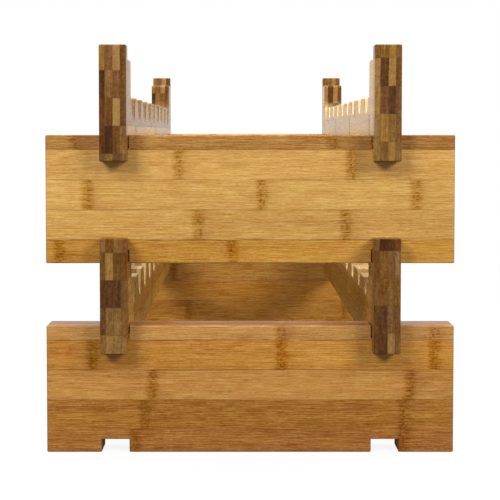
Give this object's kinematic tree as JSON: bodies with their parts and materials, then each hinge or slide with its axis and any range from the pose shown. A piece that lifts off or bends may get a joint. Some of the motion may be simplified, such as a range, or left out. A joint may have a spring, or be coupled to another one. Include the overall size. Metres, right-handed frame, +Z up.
{
  "type": "dish drying rack",
  "caption": "Two-tier dish drying rack in laminated bamboo: notched end boards and slotted rails that stack and lock without fasteners.",
  "frame": {"origin": "on the surface that the rack stands on, under the middle of its footprint", "axes": "+X across the rack to the right, +Y along the rails from the front end to the rear end, +Z up"},
  "size_m": [0.274, 0.43, 0.2735],
  "materials": {
    "bamboo_end": "satin, lightly oiled",
    "bamboo_rail": "satin, lightly oiled"
  },
  "bodies": {
    "lower_ends": {"lower_front_end": "bamboo_end", "lower_rear_end": "bamboo_end"},
    "lower_rails": {"lower_left_rail": "bamboo_rail", "lower_right_rail": "bamboo_rail"},
    "upper_ends": {"upper_front_end": "bamboo_end", "upper_rear_end": "bamboo_end"},
    "upper_left": {"upper_left_rail": "bamboo_rail"},
    "upper_right": {"upper_right_rail": "bamboo_rail"}
  },
  "joints": [
    {"name": "lower_rails_lift", "type": "slide", "parent": "lower_ends", "child": "lower_rails", "axis": [0, 0, 1], "range_m": [0, 0.04]},
    {"name": "upper_ends_lift", "type": "slide", "parent": "lower_rails", "child": "upper_ends", "axis": [0, 0, 1], "range_m": [0, 0.04]},
    {"name": "upper_left_rail_lift", "type": "slide", "parent": "upper_ends", "child": "upper_left", "axis": [0, 0, 1], "range_m": [0, 0.04]},
    {"name": "upper_right_rail_lift", "type": "slide", "parent": "upper_ends", "child": "upper_right", "axis": [0, 0, 1], "range_m": [0, 0.04]}
  ]
}
